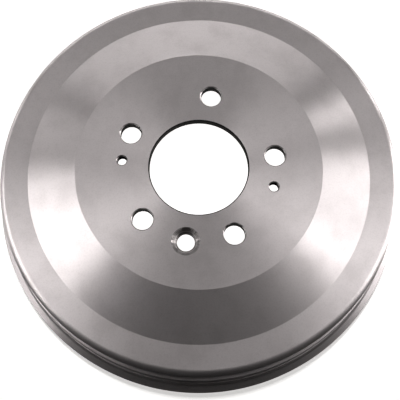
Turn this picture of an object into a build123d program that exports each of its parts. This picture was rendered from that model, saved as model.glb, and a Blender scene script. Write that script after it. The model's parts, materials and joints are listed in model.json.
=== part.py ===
from build123d import *
import math
import os

# Brake drum: one iron casting, turned on its outside, its hub seat and its braking surface.
# Millimetres. The origin is the centre of the hub seat, on the inner side of the end plate.
# +Z is the axle's line, out towards the wheel, and the drum stands on its open rim.

# End plate, with the wheel face outside and the hub seat inside
plate_thickness = 6.4
wheel_face_radius = 89.5
hub_seat_rise = 0.8
seat_edge_run = 0.8
seat_ledge = 2.9
centre_bore_radius = 35.8
centre_bore_chamfer = 0.5

# Cone and shoulder, which step the plate down to the braking ring
cone_drop = 10.5
cone_thickness = 7.0
cone_foot_fillet = 2.5
shoulder_width = 21.2
shoulder_thickness = 8.0
shoulder_rounding = 4.8

# Braking ring: a turned lip under the shoulder, a cast wall and the friction surface inside
overall_height = 66.0
friction_radius = 135.0
wall_thickness = 9.2
lip_height = 8.2
lip_overhang = 2.7
lip_underside_angle = 40.0
inner_corner_chamfer = 3.0
lead_in_depth = 2.2
lead_in_width = 1.2

# Stepped rim at the open end: heights from the open face upwards, widths from the wall outwards
rim_land_height = 12.2
rim_slope_height = 3.3
second_step_height = 4.0
first_step_height = 14.8
first_step_width = 5.0
second_step_width = 1.3
rim_slope_width = 5.6
first_step_rounding = 1.7
second_step_rounding = 0.9
rim_slope_fillet = 3.6
rim_chamfer = 0.6

# Sealing groove in the open face, for the lip of the backing plate
seal_groove_land = 10.6
seal_groove_width = 4.0
seal_groove_depth = 6.0
seal_groove_chamfer = 0.5

# Wheel stud holes
pitch_radius = 56.0
stud_count = 5
stud_start_angle = 9.0
stud_hole_radius = 7.55
stud_hole_chamfer = 0.5

# Hole of the retaining screw, halfway between two studs
screw_hole_radius = 6.3
screw_head_radius = 10.25
screw_head_angle = 90.0
screw_hole_angle = stud_start_angle + 3.5 * 360.0 / stud_count

# Tapped jack holes, M8 at the thread's crest
jack_hole_radius = 3.4
jack_hole_chamfer = 0.75
jack_hole_angles = (175.4, 344.6)

# Heights that follow from the sizes above
wheel_face_z = plate_thickness
shoulder_z = wheel_face_z - cone_drop
web_z = shoulder_z - shoulder_thickness
lip_z = shoulder_z - lip_height
rim_z = wheel_face_z - overall_height
slope_foot_z = rim_z + rim_land_height
slope_top_z = slope_foot_z + rim_slope_height
second_step_z = slope_top_z + second_step_height
first_step_z = second_step_z + first_step_height
relief_z = hub_seat_rise

# Radii that follow from the friction surface outwards
wall_radius = friction_radius + wall_thickness
shoulder_radius = wall_radius + lip_overhang
cone_foot_radius = shoulder_radius - shoulder_width
first_step_radius = wall_radius + first_step_width
second_step_radius = first_step_radius + second_step_width
rim_radius = second_step_radius + rim_slope_width
seal_groove_inner_radius = friction_radius + seal_groove_land
seal_groove_outer_radius = seal_groove_inner_radius + seal_groove_width

# The lip's underside slopes in to the wall
lip_underside_drop = lip_overhang * math.tan(math.radians(lip_underside_angle))

# The inner cone runs parallel to the outer one
cone_slope = cone_drop / (cone_foot_radius - wheel_face_radius)
cone_offset = cone_thickness * math.hypot(1.0, cone_slope)


def inner_cone_radius(height):
    """Radius at which the inner cone passes through a height."""
    return wheel_face_radius + (wheel_face_z - cone_offset - height) / cone_slope


# The hub seat ends a narrow ledge short of the inner cone
hub_seat_radius = inner_cone_radius(relief_z) - seat_ledge - seat_edge_run


def corner_at(section, radius, height):
    """Corner of a half section that lies nearest to a radius and a height."""
    return section.vertices().sort_by_distance(Vector(radius, height))[0]


def circle_edges(part, radius, height):
    """Circular edges about the axle's line with the given radius and height."""
    circles = part.edges().filter_by(GeomType.CIRCLE)
    about_axis = circles.filter_by(lambda edge: math.hypot(edge.arc_center.X, edge.arc_center.Y) < 0.01)
    at_height = about_axis.filter_by(lambda edge: abs(edge.arc_center.Z - height) < 0.01)
    return at_height.filter_by(lambda edge: abs(edge.radius - radius) < 0.01)


def hole_rims(part, radius, height):
    """Rims at the given height of the holes that stand away from the axle's line."""
    circles = part.edges().filter_by(GeomType.CIRCLE)
    off_axis = circles.filter_by(lambda edge: math.hypot(edge.arc_center.X, edge.arc_center.Y) > 1.0)
    at_height = off_axis.filter_by(lambda edge: abs(edge.arc_center.Z - height) < 0.01)
    return at_height.filter_by(lambda edge: abs(edge.radius - radius) < 0.01)


with BuildPart() as brake_drum:
    # Half section of the casting, turned about the axle's line
    with BuildSketch(Plane.XZ) as half_section:
        with BuildLine():
            Polyline(
                (centre_bore_radius, 0),
                (centre_bore_radius, wheel_face_z),
                (wheel_face_radius, wheel_face_z),
                (cone_foot_radius, shoulder_z),
                (shoulder_radius, shoulder_z),
                (shoulder_radius, lip_z),
                (wall_radius, lip_z - lip_underside_drop),
                (wall_radius, first_step_z),
                (first_step_radius, first_step_z),
                (first_step_radius, second_step_z),
                (second_step_radius, second_step_z),
                (second_step_radius, slope_top_z),
                (rim_radius, slope_foot_z),
                (rim_radius, rim_z),
                (friction_radius, rim_z),
                (friction_radius, web_z),
                (inner_cone_radius(web_z), web_z),
                (inner_cone_radius(relief_z), relief_z),
                (hub_seat_radius + seat_edge_run, relief_z),
                (hub_seat_radius, 0),
                close=True,
            )
        make_face()

        # Outside corners
        fillet(corner_at(half_section, cone_foot_radius, shoulder_z), cone_foot_fillet)
        fillet(corner_at(half_section, shoulder_radius, shoulder_z), shoulder_rounding)
        fillet(corner_at(half_section, first_step_radius, first_step_z), first_step_rounding)
        fillet(corner_at(half_section, second_step_radius, second_step_z), second_step_rounding)
        fillet(corner_at(half_section, second_step_radius, slope_top_z), rim_slope_fillet)
        chamfer(corner_at(half_section, rim_radius, slope_foot_z), rim_chamfer)
        chamfer(corner_at(half_section, rim_radius, rim_z), rim_chamfer)

        # Corner between the web and the friction surface
        chamfer(corner_at(half_section, friction_radius, web_z), inner_corner_chamfer)
    revolve(axis=Axis.Z)

    # Both edges of the centre bore
    chamfer(circle_edges(brake_drum, centre_bore_radius, wheel_face_z), centre_bore_chamfer)
    chamfer(circle_edges(brake_drum, centre_bore_radius, 0), centre_bore_chamfer)

    # Lead-in at the mouth of the friction surface
    with BuildSketch(Plane.XZ) as lead_in:
        with BuildLine():
            Polyline(
                (friction_radius, rim_z),
                (friction_radius + lead_in_width, rim_z),
                (friction_radius, rim_z + lead_in_depth),
                close=True,
            )
        make_face()
    revolve(axis=Axis.Z, mode=Mode.SUBTRACT)

    # Sealing groove in the open face
    with BuildSketch(Plane.XZ) as seal_groove:
        with Locations((seal_groove_inner_radius, rim_z)):
            Rectangle(seal_groove_width, 2 * seal_groove_depth, align=(Align.MIN, Align.CENTER))
    revolve(axis=Axis.Z, mode=Mode.SUBTRACT)
    for mouth_radius in (seal_groove_inner_radius, seal_groove_outer_radius):
        chamfer(circle_edges(brake_drum, mouth_radius, rim_z), seal_groove_chamfer)

    # Wheel stud holes
    with BuildSketch(Plane.XY.offset(wheel_face_z)):
        with PolarLocations(pitch_radius, stud_count, start_angle=stud_start_angle):
            Circle(stud_hole_radius)
    extrude(amount=-plate_thickness, mode=Mode.SUBTRACT)
    chamfer(hole_rims(brake_drum, stud_hole_radius, wheel_face_z), stud_hole_chamfer)

    # Retaining screw hole, countersunk from the wheel face
    with Locations(Plane.XY.offset(wheel_face_z)):
        with PolarLocations(pitch_radius, 1, start_angle=screw_hole_angle):
            CounterSinkHole(
                screw_hole_radius,
                screw_head_radius,
                depth=plate_thickness,
                counter_sink_angle=screw_head_angle,
            )

    # Jack holes, chamfered at the wheel face
    for jack_hole_angle in jack_hole_angles:
        with Locations(Plane.XY.offset(wheel_face_z)):
            with PolarLocations(pitch_radius, 1, start_angle=jack_hole_angle):
                Hole(jack_hole_radius, depth=plate_thickness)
    chamfer(hole_rims(brake_drum, jack_hole_radius, wheel_face_z), jack_hole_chamfer)

brake_drum.part.label = "brake_drum"

os.makedirs("parts", exist_ok=True)
export_step(brake_drum.part, "parts/brake_drum.step")
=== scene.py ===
"""Looks of one brake drum of grey cast iron that stands on its open rim, with the wheel face up.

The casting is one mesh, turned about the axle's line from a half section and drilled through its end plate.
Its sizes are in millimetres, and those that the frame holds are read from its mounts and its box.
"""

import json
import logging
import math
from dataclasses import dataclass
from enum import Enum

import bpy
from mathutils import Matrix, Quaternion, Vector
from mathutils.geometry import delaunay_2d_cdt


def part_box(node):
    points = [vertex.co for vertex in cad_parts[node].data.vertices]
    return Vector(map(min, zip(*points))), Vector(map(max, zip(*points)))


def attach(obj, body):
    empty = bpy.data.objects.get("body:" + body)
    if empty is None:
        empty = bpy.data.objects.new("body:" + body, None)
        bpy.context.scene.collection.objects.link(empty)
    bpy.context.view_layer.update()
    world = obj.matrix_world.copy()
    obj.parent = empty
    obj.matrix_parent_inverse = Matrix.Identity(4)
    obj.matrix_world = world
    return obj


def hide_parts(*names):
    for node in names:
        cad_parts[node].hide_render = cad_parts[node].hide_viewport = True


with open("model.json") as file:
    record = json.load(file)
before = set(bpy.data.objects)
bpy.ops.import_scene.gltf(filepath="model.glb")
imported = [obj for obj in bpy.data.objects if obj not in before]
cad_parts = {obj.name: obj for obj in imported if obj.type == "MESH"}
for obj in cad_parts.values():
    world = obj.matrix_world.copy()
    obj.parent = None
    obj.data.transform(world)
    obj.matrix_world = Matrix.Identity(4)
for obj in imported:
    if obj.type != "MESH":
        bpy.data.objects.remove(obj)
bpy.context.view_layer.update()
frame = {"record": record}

MILLIMETRE = 0.001
NODE = "brake_drum"
BODY = "root"

# Straight parts of a rounding: for a quarter turn, for each millimetre of its radius, and at the least
ARC_STEPS = 4
ARC_STEPS_PER_MILLIMETRE = 2
LEAST_ARC_STEPS = 2

log = logging.getLogger("brake_drum")


def linear_colour(code: str) -> tuple[float, float, float, float]:
    """Turn an sRGB hex code into a linear colour.

    Args:
        code: Six hex digits after a hash mark, such as "#8A8785".

    Returns:
        Linear red, green and blue, with an alpha of 1.
    """
    channels = [int(code[start:start + 2], 16) / 255 for start in (1, 3, 5)]
    parts = [c / 12.92 if c <= 0.04045 else ((c + 0.055) / 1.055) ** 2.4 for c in channels]
    return parts[0], parts[1], parts[2], 1.0


def mount_size(name: str, key: str) -> float:
    """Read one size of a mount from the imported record.

    Args:
        name: The mount's name.
        key: The name of the size, such as "r_mm".

    Returns:
        The size in millimetres, or the count where the key names one.
    """
    mounts = {mount["name"]: mount for mount in frame["record"]["mounts"]}
    return mounts[name]["dims"][key]


def mount_angle(name: str) -> float:
    """Read the angle about the axle's line at which a mount stands, in degrees from +X."""
    mounts = {mount["name"]: mount for mount in frame["record"]["mounts"]}
    x, y, _ = mounts[name]["pos_m"]
    return math.degrees(math.atan2(y, x))


def direction_of(azimuth: float, elevation: float) -> Vector:
    """Turn an azimuth from +X and an elevation, in degrees, into a direction of length 1."""
    across, up = math.radians(azimuth), math.radians(elevation)
    return Vector((math.cos(up) * math.cos(across), math.cos(up) * math.sin(across), math.sin(up)))


class Skin(Enum):
    """Finishes that the casting carries, in the order of its material slots."""

    TURNED = 0
    # Drilled walls and the bore's top edge, coloured near black as painted shade
    BORED = 1
    COUNTERSUNK = 2
    CAST = 3
    BRAKING = 4


def add_node(
    tree: bpy.types.NodeTree,
    kind: str,
    settings: dict[str, object] | None = None,
    inputs: dict[str | int, object] | None = None,
) -> bpy.types.Node:
    """Add one node, set its properties and fill or link its inputs.

    Args:
        tree: The node tree that takes the node.
        kind: Blender's name for the kind of node.
        settings: Property names with their values.
        inputs: Input names or places, each with a value or with the output socket to link from.

    Returns:
        The new node.
    """
    made = tree.nodes.new(kind)
    for name, value in (settings or {}).items():
        setattr(made, name, value)
    for key, value in (inputs or {}).items():
        if isinstance(value, bpy.types.NodeSocket):
            tree.links.new(value, made.inputs[key])
        else:
            made.inputs[key].default_value = value
    return made


def new_material(name: str) -> tuple[bpy.types.Material, bpy.types.NodeTree, bpy.types.Node]:
    """Make a node material that holds only its output.

    Args:
        name: The material's name.

    Returns:
        The material, its node tree and its output node.
    """
    material = bpy.data.materials.new(name)
    material.use_nodes = True
    tree = material.node_tree
    tree.nodes.clear()
    return material, tree, add_node(tree, "ShaderNodeOutputMaterial")


def height_rings(
    tree: bpy.types.NodeTree, place: bpy.types.NodeSocket, spacing: float
) -> bpy.types.NodeSocket:
    """Add level rings, a noise that changes with the height alone.

    Args:
        tree: The node tree that takes the rings.
        place: The place on the casting, in metres.
        spacing: The rings' spacing in millimetres.

    Returns:
        The rings' strength, about 0.5 in the middle.
    """
    height = add_node(tree, "ShaderNodeSeparateXYZ", None, {0: place}).outputs["Z"]
    step = add_node(
        tree, "ShaderNodeMath", {"operation": "DIVIDE"}, {0: height, 1: spacing * MILLIMETRE}
    ).outputs[0]
    return add_node(
        tree, "ShaderNodeTexNoise", {"noise_dimensions": "1D"}, {"W": step, "Scale": 1.0, "Detail": 1.0}
    ).outputs[0]


@dataclass(frozen=True)
class TurnedIron:
    """Grey cast iron faced on a lathe: fine grooves round the axle's line.

    The grooves scatter light across themselves and hardly along themselves, so a lamp shows as a bright fan
    that runs out from the axle's line, with sharp sides.
    """

    name: str = "turned_grey_iron"
    colour: str = "#C3BCBC"
    stain_colour: str = "#B7B0B0"
    roughness: float = 0.39
    anisotropy: float = 0.79
    quarter_turn: float = 0.25
    groove_spacing: float = 1.6
    groove_depth: float = 0.0012
    groove_length: float = 40.0
    cloud_size: float = 20.0
    cloud_range: tuple[float, float] = (0.45, 0.75)
    cloud_roughness: float = 0.015
    cloud_roughness_range: tuple[float, float] = (0.3, 0.7)
    grain_size: float = 1.1
    grain_range: tuple[float, float] = (0.45, 0.8)
    grain_share: float = 0.8

    def make(self) -> bpy.types.Material:
        """Build the material."""
        material, tree, output = new_material(self.name)
        place = add_node(tree, "ShaderNodeTexCoord").outputs["Object"]
        scaled = add_node(
            tree, "ShaderNodeVectorMath", {"operation": "SCALE"}, {0: place, "Scale": 1 / MILLIMETRE}
        ).outputs[0]

        # Distance from the axle's line
        flat = add_node(
            tree, "ShaderNodeVectorMath", {"operation": "MULTIPLY"}, {0: scaled, 1: (1.0, 1.0, 0.0)}
        ).outputs[0]
        radius = add_node(tree, "ShaderNodeVectorMath", {"operation": "LENGTH"}, {0: flat}).outputs["Value"]
        height = add_node(tree, "ShaderNodeSeparateXYZ", None, {0: scaled}).outputs["Z"]

        # Grooves: a noise that changes fast across the surface and slowly along the turning direction.
        # The feed marks of the real face are about 0.2 mm apart, too fine to show, so they are drawn coarser.
        across = add_node(tree, "ShaderNodeMath", {"operation": "ADD"}, {0: radius, 1: height}).outputs[0]
        groove_step = add_node(
            tree, "ShaderNodeMath", {"operation": "DIVIDE"}, {0: across, 1: self.groove_spacing}
        ).outputs[0]
        along = add_node(
            tree, "ShaderNodeVectorMath", {"operation": "SCALE"}, {0: flat, "Scale": 1 / self.groove_length}
        ).outputs[0]
        lift = add_node(tree, "ShaderNodeCombineXYZ", None, {"Z": groove_step}).outputs[0]
        groove_place = add_node(
            tree, "ShaderNodeVectorMath", {"operation": "ADD"}, {0: along, 1: lift}
        ).outputs[0]
        grooves = add_node(
            tree, "ShaderNodeTexNoise", None, {"Vector": groove_place, "Scale": 1.0, "Detail": 2.0}
        ).outputs[0]
        bump = add_node(
            tree, "ShaderNodeBump", None,
            {"Height": grooves, "Distance": self.groove_depth * MILLIMETRE, "Strength": 1.0},
        ).outputs[0]

        # Clouds: where the face was wiped, oiled and handled, it is a little darker and duller
        clouds = add_node(
            tree, "ShaderNodeTexNoise", None,
            {"Vector": scaled, "Scale": 1 / self.cloud_size, "Detail": 3.0, "Roughness": 0.6},
        ).outputs[0]
        cloud_share = add_node(
            tree, "ShaderNodeMapRange", None,
            {"Value": clouds, "From Min": self.cloud_range[0], "From Max": self.cloud_range[1]},
        ).outputs[0]
        # Grain: graphite flakes that the tool tore open leave fine dark specks.
        # They are about 0.1 mm across on the real face, too fine to show, so they are drawn coarser.
        grain = add_node(
            tree, "ShaderNodeTexNoise", None, {"Vector": scaled, "Scale": 1 / self.grain_size, "Detail": 2.0}
        ).outputs[0]
        speck_share = add_node(
            tree, "ShaderNodeMapRange", None,
            {
                "Value": grain,
                "From Min": self.grain_range[0],
                "From Max": self.grain_range[1],
                "To Max": self.grain_share,
            },
        ).outputs[0]
        stain_share = add_node(
            tree, "ShaderNodeMath", {"operation": "ADD"}, {0: cloud_share, 1: speck_share}
        ).outputs[0]
        colour = add_node(
            tree, "ShaderNodeMix", {"data_type": "RGBA"},
            {0: stain_share, 6: linear_colour(self.colour), 7: linear_colour(self.stain_colour)},
        ).outputs[2]
        roughness = add_node(
            tree, "ShaderNodeMapRange", None,
            {
                "Value": clouds,
                "From Min": self.cloud_roughness_range[0],
                "From Max": self.cloud_roughness_range[1],
                "To Min": self.roughness - self.cloud_roughness,
                "To Max": self.roughness + self.cloud_roughness,
            },
        ).outputs[0]
        around = add_node(
            tree, "ShaderNodeTangent", {"direction_type": "RADIAL", "axis": "Z"}
        ).outputs[0]
        shader = add_node(
            tree, "ShaderNodeBsdfPrincipled", {"distribution": "GGX"},
            {
                "Base Color": colour,
                "Metallic": 1.0,
                "Roughness": roughness,
                "Anisotropic": self.anisotropy,
                "Anisotropic Rotation": self.quarter_turn,
                "Tangent": around,
                "Normal": bump,
            },
        ).outputs[0]
        tree.links.new(shader, output.inputs["Surface"])
        return material


@dataclass(frozen=True)
class BoredIronPaintedShade:
    """Grey cast iron as a drill leaves it, matt and ringed, coloured near black: painted shade that stands in
    for the shade inside the holes.
    """

    name: str = "drilled_iron_painted_shade"
    # Near black: painted shade inside the holes and on the bore's top edge, not the iron's own grey
    colour: str = "#141312"
    metallic: float = 0.0
    roughness: float = 0.85
    specular: float = 0.12
    ring_spacing: float = 0.6
    ring_depth: float = 0.02

    def make(self) -> bpy.types.Material:
        """Build the material."""
        material, tree, output = new_material(self.name)
        place = add_node(tree, "ShaderNodeTexCoord").outputs["Object"]
        rings = height_rings(tree, place, self.ring_spacing)
        bump = add_node(
            tree, "ShaderNodeBump", None, {"Height": rings, "Distance": self.ring_depth * MILLIMETRE}
        ).outputs[0]
        shader = add_node(
            tree, "ShaderNodeBsdfPrincipled", None,
            {
                "Base Color": linear_colour(self.colour),
                "Metallic": self.metallic,
                "Roughness": self.roughness,
                "Specular IOR Level": self.specular,
                "Normal": bump,
            },
        ).outputs[0]
        tree.links.new(shader, output.inputs["Surface"])
        return material


@dataclass(frozen=True)
class CountersunkIron:
    """Grey cast iron cut by a countersink: rings about the screw hole's line spread each lamp into a fan.

    The narrow chamfers of the stud and jack holes share it.
    """

    centre: tuple[float, float, float]
    name: str = "countersunk_grey_iron"
    colour: str = "#8E8988"
    roughness: float = 0.4
    anisotropy: float = 0.8
    quarter_turn: float = 0.25
    ring_spacing: float = 0.7
    dark_ring_colour: str = "#575352"
    ring_range: tuple[float, float] = (0.4, 0.65)

    def make(self) -> bpy.types.Material:
        """Build the material."""
        material, tree, output = new_material(self.name)
        place = add_node(tree, "ShaderNodeTexCoord").outputs["Object"]
        rings = height_rings(tree, place, self.ring_spacing)
        ring_share = add_node(
            tree, "ShaderNodeMapRange", None,
            {"Value": rings, "From Min": self.ring_range[0], "From Max": self.ring_range[1]},
        ).outputs[0]
        colour = add_node(
            tree, "ShaderNodeMix", {"data_type": "RGBA"},
            {0: ring_share, 6: linear_colour(self.colour), 7: linear_colour(self.dark_ring_colour)},
        ).outputs[2]

        # The cutter turns about the hole's own line, so the rings run at right angles to the way out from it
        middle = tuple(part * MILLIMETRE for part in self.centre)
        outwards = add_node(
            tree, "ShaderNodeVectorMath", {"operation": "SUBTRACT"}, {0: place, 1: middle}
        ).outputs[0]
        around = add_node(
            tree, "ShaderNodeVectorMath", {"operation": "CROSS_PRODUCT"}, {0: (0.0, 0.0, 1.0), 1: outwards}
        ).outputs[0]
        along = add_node(tree, "ShaderNodeVectorMath", {"operation": "NORMALIZE"}, {0: around}).outputs[0]
        shader = add_node(
            tree, "ShaderNodeBsdfPrincipled", None,
            {
                "Base Color": colour,
                "Metallic": 1.0,
                "Roughness": self.roughness,
                "Anisotropic": self.anisotropy,
                "Anisotropic Rotation": self.quarter_turn,
                "Tangent": along,
            },
        ).outputs[0]
        tree.links.new(shader, output.inputs["Surface"])
        return material


@dataclass(frozen=True)
class CastIronSkin:
    """Grey iron as it leaves the sand mould: dark, matt and grained, with a thin oxide skin."""

    name: str = "sand_cast_iron_skin"
    colour: str = "#5A5552"
    dark_colour: str = "#3A3634"
    metallic: float = 0.55
    roughness: float = 0.62
    grain_size: float = 0.9
    grain_depth: float = 0.12
    wave_size: float = 9.0
    wave_depth: float = 0.25
    dark_range: tuple[float, float] = (0.35, 0.65)

    def make(self) -> bpy.types.Material:
        """Build the material."""
        material, tree, output = new_material(self.name)
        place = add_node(tree, "ShaderNodeTexCoord").outputs["Object"]
        scaled = add_node(
            tree, "ShaderNodeVectorMath", {"operation": "SCALE"}, {0: place, "Scale": 1 / MILLIMETRE}
        ).outputs[0]
        grain = add_node(
            tree, "ShaderNodeTexNoise", None,
            {"Vector": scaled, "Scale": 1 / self.grain_size, "Detail": 3.0, "Roughness": 0.65},
        ).outputs[0]
        waves = add_node(
            tree, "ShaderNodeTexNoise", None, {"Vector": scaled, "Scale": 1 / self.wave_size, "Detail": 2.0}
        ).outputs[0]
        wavy = add_node(
            tree, "ShaderNodeBump", None, {"Height": waves, "Distance": self.wave_depth * MILLIMETRE}
        ).outputs[0]
        bump = add_node(
            tree, "ShaderNodeBump", None,
            {"Height": grain, "Distance": self.grain_depth * MILLIMETRE, "Normal": wavy},
        ).outputs[0]
        share = add_node(
            tree, "ShaderNodeMapRange", None,
            {"Value": grain, "From Min": self.dark_range[0], "From Max": self.dark_range[1]},
        ).outputs[0]
        colour = add_node(
            tree, "ShaderNodeMix", {"data_type": "RGBA"},
            {0: share, 6: linear_colour(self.dark_colour), 7: linear_colour(self.colour)},
        ).outputs[2]
        shader = add_node(
            tree, "ShaderNodeBsdfPrincipled", None,
            {
                "Base Color": colour,
                "Metallic": self.metallic,
                "Roughness": self.roughness,
                "Normal": bump,
            },
        ).outputs[0]
        tree.links.new(shader, output.inputs["Surface"])
        return material


@dataclass(frozen=True)
class PaperSweep:
    """White seamless paper under the drum, pure white apart from the drum's shadow.

    A lamp gives part of its white, and its own glow the rest, to the camera and to what the iron mirrors.
    """

    name: str = "white_paper_sweep"
    colour: str = "#F4F3F2"
    roughness: float = 0.9
    specular: float = 0.2
    glow_colour: str = "#FFFEFC"
    glow: float = 0.57

    def make(self) -> bpy.types.Material:
        """Build the material."""
        material, tree, output = new_material(self.name)
        paper = add_node(
            tree, "ShaderNodeBsdfPrincipled", None,
            {
                "Base Color": linear_colour(self.colour),
                "Roughness": self.roughness,
                "Specular IOR Level": self.specular,
            },
        ).outputs[0]
        path = add_node(tree, "ShaderNodeLightPath").outputs
        direct = add_node(
            tree, "ShaderNodeMath", {"operation": "MAXIMUM"},
            {0: path["Is Camera Ray"], 1: path["Is Glossy Ray"]},
        ).outputs[0]
        shown = add_node(
            tree, "ShaderNodeMath", {"operation": "MAXIMUM"}, {0: direct, 1: path["Is Transmission Ray"]}
        ).outputs[0]
        strength = add_node(
            tree, "ShaderNodeMath", {"operation": "MULTIPLY"}, {0: shown, 1: self.glow}
        ).outputs[0]
        white = add_node(
            tree, "ShaderNodeEmission", None, {"Color": linear_colour(self.glow_colour), "Strength": strength}
        ).outputs[0]
        both = add_node(tree, "ShaderNodeAddShader", None, {0: paper, 1: white}).outputs[0]
        tree.links.new(both, output.inputs["Surface"])
        return material


@dataclass(frozen=True)
class BlackVelvet:
    """Black velvet of a studio flag, which gives no light back."""

    name: str = "black_velvet"
    colour: str = "#060606"

    def make(self) -> bpy.types.Material:
        """Build the material."""
        material, tree, output = new_material(self.name)
        shader = add_node(
            tree, "ShaderNodeBsdfPrincipled", None,
            {"Base Color": linear_colour(self.colour), "Roughness": 1.0, "Specular IOR Level": 0.0},
        ).outputs[0]
        tree.links.new(shader, output.inputs["Surface"])
        return material


@dataclass(frozen=True)
class Corner:
    """One corner of a half section, in millimetres, with the finish of the stretch that follows it."""

    radius: float
    height: float
    rounding: float = 0.0
    skin: Skin = Skin.TURNED


@dataclass(frozen=True)
class Stretch:
    """A short straight part of a half section, with the outward direction at both its ends."""

    start: Vector
    end: Vector
    start_normal: Vector
    end_normal: Vector
    skin: Skin


def left_of(direction: Vector) -> Vector:
    """Turn a direction in the half section a quarter turn to its left, which is away from the iron."""
    return Vector((-direction.y, direction.x))


def rounded_corner(before: Vector, corner: Corner, after: Vector) -> list[tuple[Vector, Vector]]:
    """Round one corner of a half section.

    Args:
        before: The corner before this one.
        corner: The corner to round.
        after: The corner after this one.

    Returns:
        The points of the arc in order, each with its outward direction.
    """
    tip = Vector((corner.radius, corner.height))
    arriving = (tip - before).normalized()
    leaving = (after - tip).normalized()
    turn = arriving.angle_signed(leaving)
    side = 1.0 if turn > 0 else -1.0
    size = abs(turn)
    reach = corner.rounding * math.tan(size / 2)
    first = tip - arriving * reach
    centre = first - left_of(arriving) * corner.rounding * side
    quarter_steps = ARC_STEPS + ARC_STEPS_PER_MILLIMETRE * corner.rounding
    steps = max(LEAST_ARC_STEPS, math.ceil(size / (math.pi / 2) * quarter_steps))
    points = []
    for step in range(steps + 1):
        angle = turn * step / steps
        # A positive signed angle of 2-D vectors runs clockwise
        outward = left_of(arriving)
        outward = Vector((
            outward.x * math.cos(angle) + outward.y * math.sin(angle),
            outward.y * math.cos(angle) - outward.x * math.sin(angle),
        ))
        points.append((centre + outward * corner.rounding * side, outward))
    return points


def stretches_of(corners: list[Corner]) -> list[Stretch]:
    """Break a chain of corners into stretches, with its roundings as arcs.

    Args:
        corners: The corners in order, with the iron on the right-hand side.

    Returns:
        The stretches from the first corner to the last.
    """
    tips = [Vector((corner.radius, corner.height)) for corner in corners]
    stretches = []
    here = tips[0]
    for place in range(1, len(corners)):
        direction = (tips[place] - tips[place - 1]).normalized()
        outward = left_of(direction)
        skin = corners[place - 1].skin
        corner = corners[place]
        arc = []
        if corner.rounding > 0 and place + 1 < len(corners):
            arc = rounded_corner(tips[place - 1], corner, tips[place + 1])
        there = arc[0][0] if arc else tips[place]
        stretches.append(Stretch(here, there, outward, outward, skin))
        here = there
        for (start, start_normal), (end, end_normal) in zip(arc, arc[1:]):
            stretches.append(Stretch(start, end, start_normal, end_normal, skin))
            here = end
    return stretches


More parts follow.
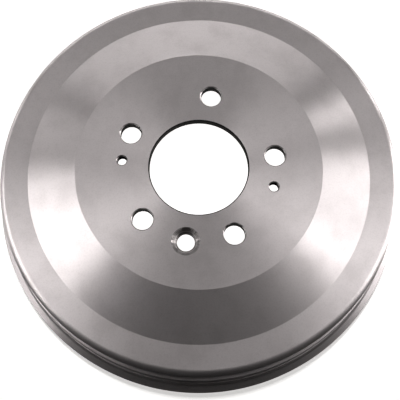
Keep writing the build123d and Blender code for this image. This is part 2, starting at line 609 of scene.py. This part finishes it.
class Shell:
    """The faces of the casting, each with its finish and with a normal for each of its corners."""

    # Places that agree to a ten-thousandth of a millimetre are one vertex
    ROUND_TO = 1e4
    # Two points of a level ring this close, in millimetres, are one for the filling
    FILL_GAP = 1e-7
    # A face whose middle lies within this share of a hole's radius is inside the hole
    HOLE_SHARE = math.cos(math.pi / 48)

    def __init__(self) -> None:
        """Start with no faces."""
        self.points: list[tuple[float, float, float]] = []
        self.faces: list[tuple[int, ...]] = []
        self.normals: list[tuple[float, float, float]] = []
        self.skins: list[int] = []
        self._places: dict[tuple[int, int, int], int] = {}

    def point(self, x: float, y: float, z: float) -> int:
        """Give the number of the vertex at a place in millimetres, which is made only once."""
        key = (round(x * self.ROUND_TO), round(y * self.ROUND_TO), round(z * self.ROUND_TO))
        if key not in self._places:
            self._places[key] = len(self.points)
            self.points.append((x, y, z))
        return self._places[key]

    def ring(self, centre: Vector, radius: float, height: float, count: int) -> list[int]:
        """Give the vertices of a level circle, counter-clockwise from +X."""
        turns = [2 * math.pi * step / count for step in range(count)]
        return [
            self.point(centre.x + radius * math.cos(turn), centre.y + radius * math.sin(turn), height)
            for turn in turns
        ]

    def add(
        self, corners: tuple[int, ...], normals: list[tuple[float, float, float]], skin: Skin
    ) -> None:
        """Add one face with a normal for each of its corners."""
        self.faces.append(corners)
        self.normals.extend(normals)
        self.skins.append(skin.value)

    def turn(self, stretches: list[Stretch], centre: Vector, count: int) -> None:
        """Turn stretches about an upright line, as on a lathe or with a drill.

        Args:
            stretches: The stretches of the half section, with radii from the line.
            centre: Where the line stands.
            count: How many faces go round.
        """
        angles = [2 * math.pi * step / count for step in range(count)]
        rounds = [(math.cos(angle), math.sin(angle)) for angle in angles]
        for stretch in stretches:
            if (stretch.end - stretch.start).length < 1 / self.ROUND_TO:
                continue
            low = self.ring(centre, stretch.start.x, stretch.start.y, count)
            high = self.ring(centre, stretch.end.x, stretch.end.y, count)
            first, last = stretch.start_normal, stretch.end_normal
            for step in range(count):
                after = (step + 1) % count
                (c0, s0), (c1, s1) = rounds[step], rounds[after]
                self.add(
                    (low[step], high[step], high[after], low[after]),
                    [
                        (first.x * c0, first.x * s0, first.y),
                        (last.x * c0, last.x * s0, last.y),
                        (last.x * c1, last.x * s1, last.y),
                        (first.x * c1, first.x * s1, first.y),
                    ],
                    stretch.skin,
                )

    def drilled_ring(
        self,
        height: float,
        upwards: bool,
        edges: list[list[int]],
        holes: list[tuple[Vector, float]],
        skin: Skin,
    ) -> None:
        """Fill the level ring between two circles, less the holes through it.

        Args:
            height: The height of the ring; not used.
            upwards: True if the ring faces up.
            edges: The vertex loops of the inner circle, the outer circle and each hole.
            holes: The centre and radius of each hole.
            skin: The finish of the ring.
        """
        numbers = [number for loop in edges for number in loop]
        flat = [Vector(self.points[number][:2]) for number in numbers]
        place_of = {number: place for place, number in enumerate(numbers)}
        borders = [
            (place_of[loop[step]], place_of[loop[(step + 1) % len(loop)]])
            for loop in edges
            for step in range(len(loop))
        ]
        made = delaunay_2d_cdt(flat, borders, [], 0, self.FILL_GAP)
        made_points, made_faces, sources = made[0], made[2], made[3]
        inner = min(point.length for point in flat)
        normal = (0.0, 0.0, 1.0 if upwards else -1.0)
        for face in made_faces:
            middle = sum((made_points[place] for place in face), Vector((0.0, 0.0))) / len(face)
            if middle.length < inner * math.cos(math.pi / len(edges[0])):
                continue
            if any((middle - centre).length < radius * self.HOLE_SHARE for centre, radius in holes):
                continue
            corners = tuple(numbers[sources[place][0]] for place in face)
            self.add(corners if upwards else corners[::-1], [normal] * len(corners), skin)

    def make_mesh(self, name: str) -> bpy.types.Mesh:
        """Turn the faces into a mesh in the frame's metres."""
        mesh = bpy.data.meshes.new(name)
        scaled = [tuple(part * MILLIMETRE for part in point) for point in self.points]
        mesh.from_pydata(scaled, [], self.faces)
        mesh.polygons.foreach_set("material_index", self.skins)
        mesh.polygons.foreach_set("use_smooth", [True] * len(self.faces))
        mesh.normals_split_custom_set(self.normals)
        mesh.validate()
        return mesh


@dataclass(frozen=True)
class EndPlate:
    """The plate that the wheel and the hub bolt to, with the bore and all its holes, in millimetres."""

    face_z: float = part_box(NODE)[1][2] / MILLIMETRE
    bore_radius: float = mount_size("centre_bore", "r_mm")
    bore_chamfer: float = 0.8
    pitch_radius: float = mount_size("wheel_studs", "pcd_mm") / 2
    stud_count: int = int(mount_size("wheel_studs", "count"))
    stud_radius: float = mount_size("wheel_studs", "hole_r_mm")
    stud_start: float = 9.0
    stud_chamfer: float = 0.8
    screw_angle: float = mount_angle("retaining_screw_hole")
    screw_radius: float = mount_size("retaining_screw_hole", "r_mm")
    screw_head_radius: float = 10.25
    drilled_inner: float = 42.0
    drilled_outer: float = 74.0
    plate_count: int = 384
    hole_count: int = 96

    def bore(self) -> list[Corner]:
        """Corners of the centre bore, from the hub seat to the wheel face."""
        radius, chamfer, top = self.bore_radius, self.bore_chamfer, self.face_z
        return [
            Corner(self.drilled_inner, 0.0),
            Corner(radius + chamfer, 0.0, 0.0, Skin.BORED),
            Corner(radius, chamfer, 0.0, Skin.BORED),
            # The top chamfer takes the near-black drilled finish too: a painted dark line for the shade at
            # the bore's edge
            Corner(radius, top - chamfer, 0.0, Skin.BORED),
            Corner(radius + chamfer, top, 0.0),
            Corner(self.drilled_inner, top),
        ]

    def stud_hole(self) -> list[Corner]:
        """Corners of one stud hole, from the hub seat to the wheel face."""
        radius, chamfer, top = self.stud_radius, self.stud_chamfer, self.face_z
        return [
            Corner(radius, 0.0, 0.0, Skin.BORED),
            Corner(radius, top - chamfer, 0.0, Skin.COUNTERSUNK),
            Corner(radius + chamfer, top),
        ]

    def screw_hole(self) -> list[Corner]:
        """Corners of the countersunk screw hole, from the hub seat to the wheel face."""
        depth = self.screw_head_radius - self.screw_radius
        return [
            Corner(self.screw_radius, 0.0, 0.0, Skin.BORED),
            Corner(self.screw_radius, self.face_z - depth, 0.0, Skin.COUNTERSUNK),
            Corner(self.screw_head_radius, self.face_z),
        ]

    def centre_at(self, angle: float) -> Vector:
        """Where a hole of the stud circle stands, at an angle in degrees."""
        turn = math.radians(angle)
        return Vector((self.pitch_radius * math.cos(turn), self.pitch_radius * math.sin(turn)))


# Where the jack holes stand on the stud circle, in degrees from +X
JACK_HOLE_ANGLES = (175.4, 344.6)


@dataclass(frozen=True)
class JackHole:
    """A tapped hole through the end plate, in which a screw pushes the drum off its hub, in millimetres."""

    angle: float
    crest_radius: float = mount_size("jack_hole_left", "r_mm")
    thread_depth: float = 0.6
    pitch: float = 1.25
    chamfer: float = 0.75
    count: int = 64
    rows_per_turn: int = 10

    def make(self, shell: Shell, plate: EndPlate) -> tuple[Vector, list[int], list[int]]:
        """Add the chamfer and the threaded wall.

        Args:
            shell: The casting's faces.
            plate: The end plate that the hole goes through.

        Returns:
            The hole's centre and its loops at the hub seat and at the wheel face.
        """
        centre = plate.centre_at(self.angle)
        top = plate.face_z - self.chamfer
        chamfer = [
            Corner(self.crest_radius, top, 0.0, Skin.COUNTERSUNK),
            Corner(self.crest_radius + self.chamfer, plate.face_z),
        ]
        shell.turn(stretches_of(chamfer), centre, self.count)
        rows = round(top / self.pitch * self.rows_per_turn)
        loops = [
            [shell.point(*self.wall(centre, turn, row / rows, top)) for turn in range(self.count)]
            for row in range(rows + 1)
        ]
        for row in range(rows):
            for turn in range(self.count):
                after = (turn + 1) % self.count
                corners = (loops[row][turn], loops[row][after], loops[row + 1][after], loops[row + 1][turn])
                shell.add(corners[::-1], [(0.0, 0.0, 0.0)] * 4, Skin.BORED)
        rim = shell.ring(centre, self.crest_radius + self.chamfer, plate.face_z, self.count)
        return centre, loops[0], rim

    def wall(self, centre: Vector, turn: int, share: float, top: float) -> tuple[float, float, float]:
        """Give a point of the threaded wall.

        Args:
            centre: The hole's centre.
            turn: The step round the hole.
            share: The height as a share of the threaded wall.
            top: The height of the threaded wall.

        Returns:
            The point in millimetres.
        """
        angle = 2 * math.pi * turn / self.count
        height = share * top
        phase = (height / self.pitch - turn / self.count) % 1.0
        groove = 1 - abs(2 * phase - 1)
        fade = min(1.0, height / (self.pitch / 2), (top - height) / (self.pitch / 2))
        radius = self.crest_radius + self.thread_depth * groove * fade
        return centre.x + radius * math.cos(angle), centre.y + radius * math.sin(angle), height


@dataclass(frozen=True)
class BrakingRing:
    """Everything outside the stud circle: cone, shoulder, wall, rim and inside, in millimetres."""

    face_z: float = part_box(NODE)[1][2] / MILLIMETRE
    rim_z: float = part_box(NODE)[0][2] / MILLIMETRE
    face_radius: float = 89.5
    face_edge: float = 0.3
    cone_drop: float = 10.5
    cone_foot_radius: float = 125.7
    cone_foot_rounding: float = 2.5
    cone_thickness: float = 7.0
    shoulder_radius: float = 146.9
    shoulder_rounding: float = 4.8
    shoulder_thickness: float = 8.0
    lip_height: float = 8.2
    lip_edge: float = 0.25
    wall_radius: float = 144.2
    lip_slope_drop: float = 2.27
    cast_corner: float = 1.0
    first_step_radius: float = 149.2
    first_step_top: float = 34.3
    first_step_rounding: float = 1.0
    second_step_radius: float = 150.5
    second_step_top: float = 19.5
    second_step_rounding: float = 0.9
    slope_top: float = 15.5
    slope_fillet: float = 3.6
    land_height: float = 12.2
    tool_corner: float = 0.3
    rim_radius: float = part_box(NODE)[1][0] / MILLIMETRE
    rim_chamfer: float = 0.6
    groove_radius: float = 147.6
    groove_width: float = 4.0
    groove_depth: float = 6.0
    groove_chamfer: float = 0.5
    friction_radius: float = mount_size("friction_surface", "r_mm")
    lead_in_width: float = 1.2
    lead_in_depth: float = 2.2
    inner_chamfer: float = 3.0
    seat_radius: float = 79.98
    seat_rise: float = 0.8

    def inner_cone_radius(self, height: float) -> float:
        """Radius at which the inner cone, parallel to the outer one, passes through a height."""
        slope = self.cone_drop / (self.cone_foot_radius - self.face_radius)
        offset = self.cone_thickness * math.hypot(1.0, slope)
        return self.face_radius + (self.face_z - offset - height) / slope

    def outside(self) -> list[Corner]:
        """Corners from the wheel face's edge down to the rim's lowest edge."""
        shoulder_z = self.face_z - self.cone_drop
        lip_z = shoulder_z - self.lip_height
        rim_z = self.rim_z
        return [
            Corner(self.face_radius, self.face_z, self.face_edge),
            Corner(self.cone_foot_radius, shoulder_z, self.cone_foot_rounding),
            Corner(self.shoulder_radius, shoulder_z, self.shoulder_rounding),
            Corner(self.shoulder_radius, lip_z, self.lip_edge),
            Corner(self.wall_radius, lip_z - self.lip_slope_drop, self.cast_corner, Skin.CAST),
            Corner(self.wall_radius, rim_z + self.first_step_top, self.cast_corner),
            Corner(self.first_step_radius, rim_z + self.first_step_top, self.first_step_rounding),
            Corner(self.first_step_radius, rim_z + self.second_step_top, self.tool_corner),
            Corner(self.second_step_radius, rim_z + self.second_step_top, self.second_step_rounding),
            Corner(self.second_step_radius, rim_z + self.slope_top, self.slope_fillet),
            Corner(self.rim_radius, rim_z + self.land_height, self.rim_chamfer),
            Corner(self.rim_radius, rim_z + self.rim_chamfer),
            Corner(self.rim_radius - self.rim_chamfer, rim_z),
        ]

    def open_face(self) -> list[Corner]:
        """Corners of the open face, with the sealing groove, from the outside to the friction surface."""
        outer = self.groove_radius + self.groove_width / 2
        inner = self.groove_radius - self.groove_width / 2
        floor_z = self.rim_z + self.groove_depth
        return [
            Corner(outer + self.groove_chamfer, self.rim_z),
            Corner(outer, self.rim_z + self.groove_chamfer),
            Corner(outer, floor_z, self.tool_corner),
            Corner(inner, floor_z, self.tool_corner),
            Corner(inner, self.rim_z + self.groove_chamfer),
            Corner(inner - self.groove_chamfer, self.rim_z),
            Corner(self.friction_radius + self.lead_in_width, self.rim_z),
        ]

    def inside(self) -> list[Corner]:
        """Corners from the mouth of the friction surface to the edge of the hub seat."""
        web_z = self.face_z - self.cone_drop - self.shoulder_thickness
        return [
            Corner(self.friction_radius, self.rim_z + self.lead_in_depth, 0.0, Skin.BRAKING),
            Corner(self.friction_radius, web_z - self.inner_chamfer, 0.0, Skin.TURNED),
            Corner(self.friction_radius - self.inner_chamfer, web_z, self.cast_corner, Skin.CAST),
            Corner(self.inner_cone_radius(web_z), web_z, self.cast_corner, Skin.CAST),
            Corner(self.inner_cone_radius(self.seat_rise), self.seat_rise, self.cast_corner, Skin.CAST),
            Corner(self.seat_radius + self.seat_rise, self.seat_rise),
            Corner(self.seat_radius, 0.0),
        ]

    def corners(self, plate: EndPlate) -> list[Corner]:
        """The whole chain of corners, from the wheel face outside to the hub seat inside."""
        start = Corner(plate.drilled_outer, plate.face_z)
        end = Corner(plate.drilled_outer, 0.0)
        return [start, *self.outside(), *self.open_face(), *self.inside(), end]


@dataclass
class Casting:
    """The drum itself: one iron casting, turned and drilled."""

    plate: EndPlate
    ring: BrakingRing
    jack_holes: tuple[JackHole, ...]

    def build(self) -> bpy.types.Object:
        """Build the mesh of the casting as one closed piece."""
        shell = Shell()
        plate = self.plate
        axis = Vector((0.0, 0.0))
        shell.turn(stretches_of(self.ring.corners(plate)), axis, plate.plate_count)
        shell.turn(stretches_of(plate.bore()), axis, plate.plate_count)

        step = 360 / plate.stud_count
        studs = [plate.centre_at(plate.stud_start + step * number) for number in range(plate.stud_count)]
        drilled = [(centre, plate.stud_hole()) for centre in studs]
        drilled.append((plate.centre_at(plate.screw_angle), plate.screw_hole()))
        low_loops, high_loops, low_holes, high_holes = [], [], [], []
        for centre, corners in drilled:
            shell.turn(stretches_of(corners), centre, plate.hole_count)
            for corner, loops, holes in (
                (corners[0], low_loops, low_holes),
                (corners[-1], high_loops, high_holes),
            ):
                loops.append(shell.ring(centre, corner.radius, corner.height, plate.hole_count))
                holes.append((centre, corner.radius))
        for hole in self.jack_holes:
            centre, low, high = hole.make(shell, plate)
            low_loops.append(low)
            high_loops.append(high)
            low_holes.append((centre, hole.crest_radius))
            high_holes.append((centre, hole.crest_radius + hole.chamfer))

        for height, upwards, loops, holes in (
            (0.0, False, low_loops, low_holes),
            (plate.face_z, True, high_loops, high_holes),
        ):
            inner = shell.ring(axis, plate.drilled_inner, height, plate.plate_count)
            outer = shell.ring(axis, plate.drilled_outer, height, plate.plate_count)
            shell.drilled_ring(height, upwards, [inner, outer, *loops], holes, Skin.TURNED)

        piece = bpy.data.objects.new("drum_casting", shell.make_mesh("drum_casting"))
        bpy.context.scene.collection.objects.link(piece)
        return piece

    def dress(self, piece: bpy.types.Object) -> None:
        """Give the casting its finishes and tie it to the frame.

        Args:
            piece: The casting's object.
        """
        finishes = {
            Skin.TURNED: TurnedIron(),
            Skin.BORED: BoredIronPaintedShade(),
            Skin.COUNTERSUNK: CountersunkIron((*self.plate.centre_at(self.plate.screw_angle), 0.0)),
            Skin.CAST: CastIronSkin(),
            Skin.BRAKING: TurnedIron(name="bored_friction_surface", roughness=0.3, groove_spacing=1.0),
        }
        for skin in Skin:
            piece.data.materials.append(finishes[skin].make())
        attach(piece, BODY)
        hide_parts(NODE)


@dataclass(frozen=True)
class Softbox:
    """One soft studio lamp that points at the drum, its angles in degrees and its sizes in millimetres."""

    name: str
    azimuth: float
    elevation: float
    width: float
    height: float
    brightness: float
    distance: float = 2000.0

    def place(self) -> bpy.types.Object:
        """Put the lamp up, pointing at the middle of the drum.

        Returns:
            The lamp's object.
        """
        light = bpy.data.lights.new(self.name, "AREA")
        light.shape = "RECTANGLE"
        light.size = self.width * MILLIMETRE
        light.size_y = self.height * MILLIMETRE
        # A brightness of 1 is that of a sheet which the camera shows as pure white
        light.energy = math.pi * light.size * light.size_y * self.brightness
        lamp = bpy.data.objects.new(self.name, light)
        towards = direction_of(self.azimuth, self.elevation)
        lamp.location = towards * self.distance * MILLIMETRE
        lamp.rotation_euler = towards.to_track_quat("Z", "Y").to_euler()
        lamp.visible_camera = False
        bpy.context.scene.collection.objects.link(lamp)
        return lamp


@dataclass(frozen=True)
class Studio:
    """The white paper floor, the lamps, the black flag and the dim surround, in millimetres."""

    floor_z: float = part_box(NODE)[0][2] / MILLIMETRE
    floor_radius: float = 6000.0
    card_radius: float = 115.0
    card_lift: float = 0.3
    card_glow: float = 1.0
    card_step: int = 6
    flag_inner_radius: float = 156.4
    flag_outer_radius: float = 6000.0
    flag_middle: int = -90
    flag_half_angle: int = 75
    flag_step: int = 5
    flag_lift: float = 1.0
    surround_colour: str = "#FFFFFF"
    surround_strength: float = 0.004
    softboxes: tuple[Softbox, ...] = (
        Softbox("right_low_softbox", 10.5, 11.3, 949.0, 629.0, 19.4),
        Softbox("right_high_softbox", -10.5, 35.9, 486.0, 1016.0, 5.6),
        Softbox("right_middle_softbox", 39.9, 13.5, 260.0, 598.0, 12.8),
        Softbox("left_softbox", 183.2, 38.6, 1442.0, 458.0, 8.5),
        Softbox("left_high_softbox", 177.5, 64.2, 304.0, 990.0, 5.0),
        Softbox("left_low_softbox", 146.7, 14.6, 549.0, 752.0, 3.2),
        Softbox("back_strip", 93.2, 19.0, 3112.0, 453.0, 4.9),
        Softbox("right_overhead_softbox", 13.2, 66.2, 838.0, 545.0, 3.9),
        Softbox("left_overhead_softbox", 116.0, 72.7, 933.0, 247.0, 1.3),
        Softbox("overhead_softbox", 26.2, 87.1, 726.0, 480.0, 0.82),
    )
    floor_lamp: Softbox = Softbox("floor_lamp", 98.0, 79.6, 120.0, 120.0, 500.0)

    def sheet(
        self, name: str, points: list[Vector], lift: float, material: bpy.types.Material
    ) -> bpy.types.Object:
        """Lay one flat sheet on the floor as a part of the stage.

        Args:
            name: The sheet's name.
            points: Its corners in order, counter-clockwise.
            lift: How far it lies above the floor.
            material: Its material.

        Returns:
            The sheet's object.
        """
        mesh = bpy.data.meshes.new(name)
        height = (self.floor_z + lift) * MILLIMETRE
        corners = [(point.x * MILLIMETRE, point.y * MILLIMETRE, height) for point in points]
        mesh.from_pydata(corners, [], [tuple(range(len(corners)))])
        mesh.materials.append(material)
        laid = bpy.data.objects.new(name, mesh)
        bpy.context.scene.collection.objects.link(laid)
        return laid

    def arc(self, radius: float, angles: range) -> list[Vector]:
        """Points about the axle's line at whole degrees."""
        return [Vector(direction_of(angle, 0.0)[:2]) * radius for angle in angles]

    def lay_floor(self) -> bpy.types.Object:
        """Lay the paper floor and the bright card that shows through the holes."""
        reach = self.floor_radius
        square = [Vector((x * reach, y * reach)) for x, y in ((-1, -1), (1, -1), (1, 1), (-1, 1))]
        floor = self.sheet("paper_floor", square, 0.0, PaperSweep().make())
        disc = self.arc(self.card_radius, range(0, 360, self.card_step))
        bright = PaperSweep(name="bright_white_card", glow=self.card_glow)
        self.sheet("bright_card", disc, self.card_lift, bright.make())
        return floor

    def lay_flag(self) -> None:
        """Lay a black flag before the drum, which only the iron mirrors, so that its near edges stay dark."""
        first = self.flag_middle - self.flag_half_angle
        last = self.flag_middle + self.flag_half_angle
        angles = range(first, last + 1, self.flag_step)
        inner = self.arc(self.flag_inner_radius, angles)
        outer = self.arc(self.flag_outer_radius, angles)
        flag = self.sheet("black_flag", outer + inner[::-1], self.flag_lift, BlackVelvet().make())
        flag.visible_camera = False
        flag.visible_diffuse = False
        flag.visible_shadow = False

    def build(self) -> None:
        """Lay the floor, put up the lamps and set the surround."""
        floor = self.lay_floor()
        self.lay_flag()
        floor_alone = bpy.data.collections.new("lit_by_floor_lamp")
        floor_alone.objects.link(floor)
        all_but_floor = bpy.data.collections.new("lit_by_softboxes")
        all_but_floor.objects.link(floor)
        all_but_floor.collection_objects[0].light_linking.link_state = "EXCLUDE"
        for softbox in self.softboxes:
            softbox.place().light_linking.receiver_collection = all_but_floor
        self.floor_lamp.place().light_linking.receiver_collection = floor_alone
        world = bpy.data.worlds.new("dim_surround")
        world.use_nodes = True
        tree = world.node_tree
        tree.nodes.clear()
        glow = add_node(
            tree, "ShaderNodeBackground", None,
            {"Color": linear_colour(self.surround_colour), "Strength": self.surround_strength},
        ).outputs[0]
        add_node(tree, "ShaderNodeOutputWorld", None, {"Surface": glow})
        bpy.context.scene.world = world


@dataclass(frozen=True)
class Viewpoint:
    """The camera, which looks steeply down at the wheel face, in millimetres and degrees."""

    aim: tuple[float, float, float] = (1.0, -25.2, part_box(NODE)[1][2] / MILLIMETRE)
    azimuth: float = -89.76
    elevation: float = 73.19
    roll: float = 0.10
    distance: float = 503.6
    focal_length: float = 63.69
    sensor_width: float = 36.0

    def build(self) -> None:
        """Place the camera and make it the scene's own."""
        data = bpy.data.cameras.new("viewpoint")
        data.sensor_width = self.sensor_width
        data.lens = self.focal_length
        camera = bpy.data.objects.new("viewpoint", data)
        towards = direction_of(self.azimuth, self.elevation)
        camera.location = (Vector(self.aim) + towards * self.distance) * MILLIMETRE
        turn = towards.to_track_quat("Z", "Y")
        turn.rotate(Quaternion(towards, math.radians(self.roll)))
        camera.rotation_euler = turn.to_euler()
        bpy.context.scene.collection.objects.link(camera)
        bpy.context.scene.camera = camera


def main() -> None:
    """Build the view, the studio and the drum."""
    logging.basicConfig(level=logging.INFO)
    bpy.context.scene.view_settings.view_transform = "Standard"
    Viewpoint().build()
    Studio().build()
    jack_holes = tuple(JackHole(angle) for angle in JACK_HOLE_ANGLES)
    casting = Casting(EndPlate(), BrakingRing(), jack_holes)
    piece = casting.build()
    casting.dress(piece)
    log.info("%s: %d faces", piece.name, len(piece.data.polygons))


if __name__ == "__main__":
    main()
